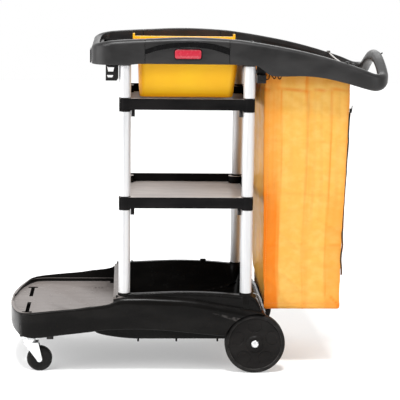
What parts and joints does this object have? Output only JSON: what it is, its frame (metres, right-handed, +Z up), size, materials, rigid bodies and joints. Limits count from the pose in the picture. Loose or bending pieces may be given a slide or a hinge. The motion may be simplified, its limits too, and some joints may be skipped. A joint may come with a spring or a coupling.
{
  "type": "wheeled cleaning cart",
  "caption": "Housekeeping cleaning cart: low front platform and tub, shelves on tube posts, top deck with lift-out bin and push handle, hanging waste bag, casters in front, large wheels behind.",
  "frame": {"origin": "on the floor, at the middle of the cart's length and width", "axes": "+X from the front platform to the push handle, +Y to the cart's right side, +Z up"},
  "size_m": [1.264, 0.552, 1.126],
  "materials": {
    "base_plastic": "moulded, lightly grained black",
    "shelf_plastic": "moulded, lightly grained black",
    "deck_plastic": "satin black",
    "bin_plastic": "satin yellow",
    "badge_plastic": "gloss red",
    "bag_vinyl": "coated fabric, soft sheen",
    "zip_tape": "woven tape with moulded teeth",
    "post_aluminium": "satin anodised",
    "zinc": "bright zinc plate",
    "tyre_rubber": "matte",
    "hub_plastic": "moulded black",
    "peg_plastic": "moulded black"
  },
  "bodies": {
    "cart": {"base_moulding": "base_plastic", "post_lower_front_left": "post_aluminium", "post_lower_front_right": "post_aluminium", "post_lower_rear_left": "post_aluminium", "post_lower_rear_right": "post_aluminium", "post_middle_front_left": "post_aluminium", "post_middle_front_right": "post_aluminium", "post_middle_rear_left": "post_aluminium", "post_middle_rear_right": "post_aluminium", "post_upper_front_left": "post_aluminium", "post_upper_front_right": "post_aluminium", "post_upper_rear_left": "post_aluminium", "post_upper_rear_right": "post_aluminium", "shelf_lower": "shelf_plastic", "shelf_upper": "shelf_plastic", "front_cap": "deck_plastic", "handle_frame": "deck_plastic", "deck_tray": "deck_plastic", "front_clip": "deck_plastic", "waste_bag": "bag_vinyl", "bag_zip": "zip_tape", "rear_axle": "zinc", "side_panel_left": "deck_plastic", "badge_left": "badge_plastic", "tool_hook_left": "peg_plastic", "rail_bracket_left": "peg_plastic", "rail_clip_left": "peg_plastic", "bag_rail_left": "zinc", "bag_peg_left": "peg_plastic", "axle_cap_left": "zinc", "caster_plate_left": "zinc", "side_panel_right": "deck_plastic", "badge_right": "badge_plastic", "tool_hook_right": "peg_plastic", "rail_bracket_right": "peg_plastic", "rail_clip_right": "peg_plastic", "bag_rail_right": "zinc", "bag_peg_right": "peg_plastic", "axle_cap_right": "zinc", "caster_plate_right": "zinc"},
    "bin": {"bin": "bin_plastic"},
    "bin_handle": {"bin_handle": "bin_plastic"},
    "rear_wheel_left": {"rear_tyre_left": "tyre_rubber", "rear_hub_left": "hub_plastic"},
    "caster_left": {"caster_fork_left": "zinc", "caster_bolt_left": "zinc"},
    "caster_wheel_left": {"caster_wheel_left": "tyre_rubber"},
    "rear_wheel_right": {"rear_tyre_right": "tyre_rubber", "rear_hub_right": "hub_plastic"},
    "caster_right": {"caster_fork_right": "zinc", "caster_bolt_right": "zinc"},
    "caster_wheel_right": {"caster_wheel_right": "tyre_rubber"}
  },
  "joints": [
    {"name": "bin_lift", "type": "slide", "parent": "cart", "child": "bin", "axis": [0, 0, 1], "range_m": [0, 0.2]},
    {"name": "bin_handle_fold", "type": "hinge", "parent": "bin", "child": "bin_handle", "pos_m": [0, 0, 1.072], "axis": [1, 0, 0], "range_deg": [-35, 35]},
    {"name": "rear_wheel_roll_left", "type": "hinge", "parent": "cart", "child": "rear_wheel_left", "pos_m": [0.2025, -0.243, 0.1016], "axis": [0, 1, 0], "continuous": true},
    {"name": "caster_swivel_left", "type": "hinge", "parent": "cart", "child": "caster_left", "pos_m": [-0.555, -0.22, 0.1122], "axis": [0, 0, 1], "continuous": true},
    {"name": "caster_roll_left", "type": "hinge", "parent": "caster_left", "child": "caster_wheel_left", "pos_m": [-0.522, -0.22, 0.0425], "axis": [0, 1, 0], "continuous": true},
    {"name": "rear_wheel_roll_right", "type": "hinge", "parent": "cart", "child": "rear_wheel_right", "pos_m": [0.2025, 0.243, 0.1016], "axis": [0, 1, 0], "continuous": true},
    {"name": "caster_swivel_right", "type": "hinge", "parent": "cart", "child": "caster_right", "pos_m": [-0.555, 0.22, 0.1122], "axis": [0, 0, 1], "continuous": true},
    {"name": "caster_roll_right", "type": "hinge", "parent": "caster_right", "child": "caster_wheel_right", "pos_m": [-0.522, 0.22, 0.0425], "axis": [0, 1, 0], "continuous": true}
  ]
}
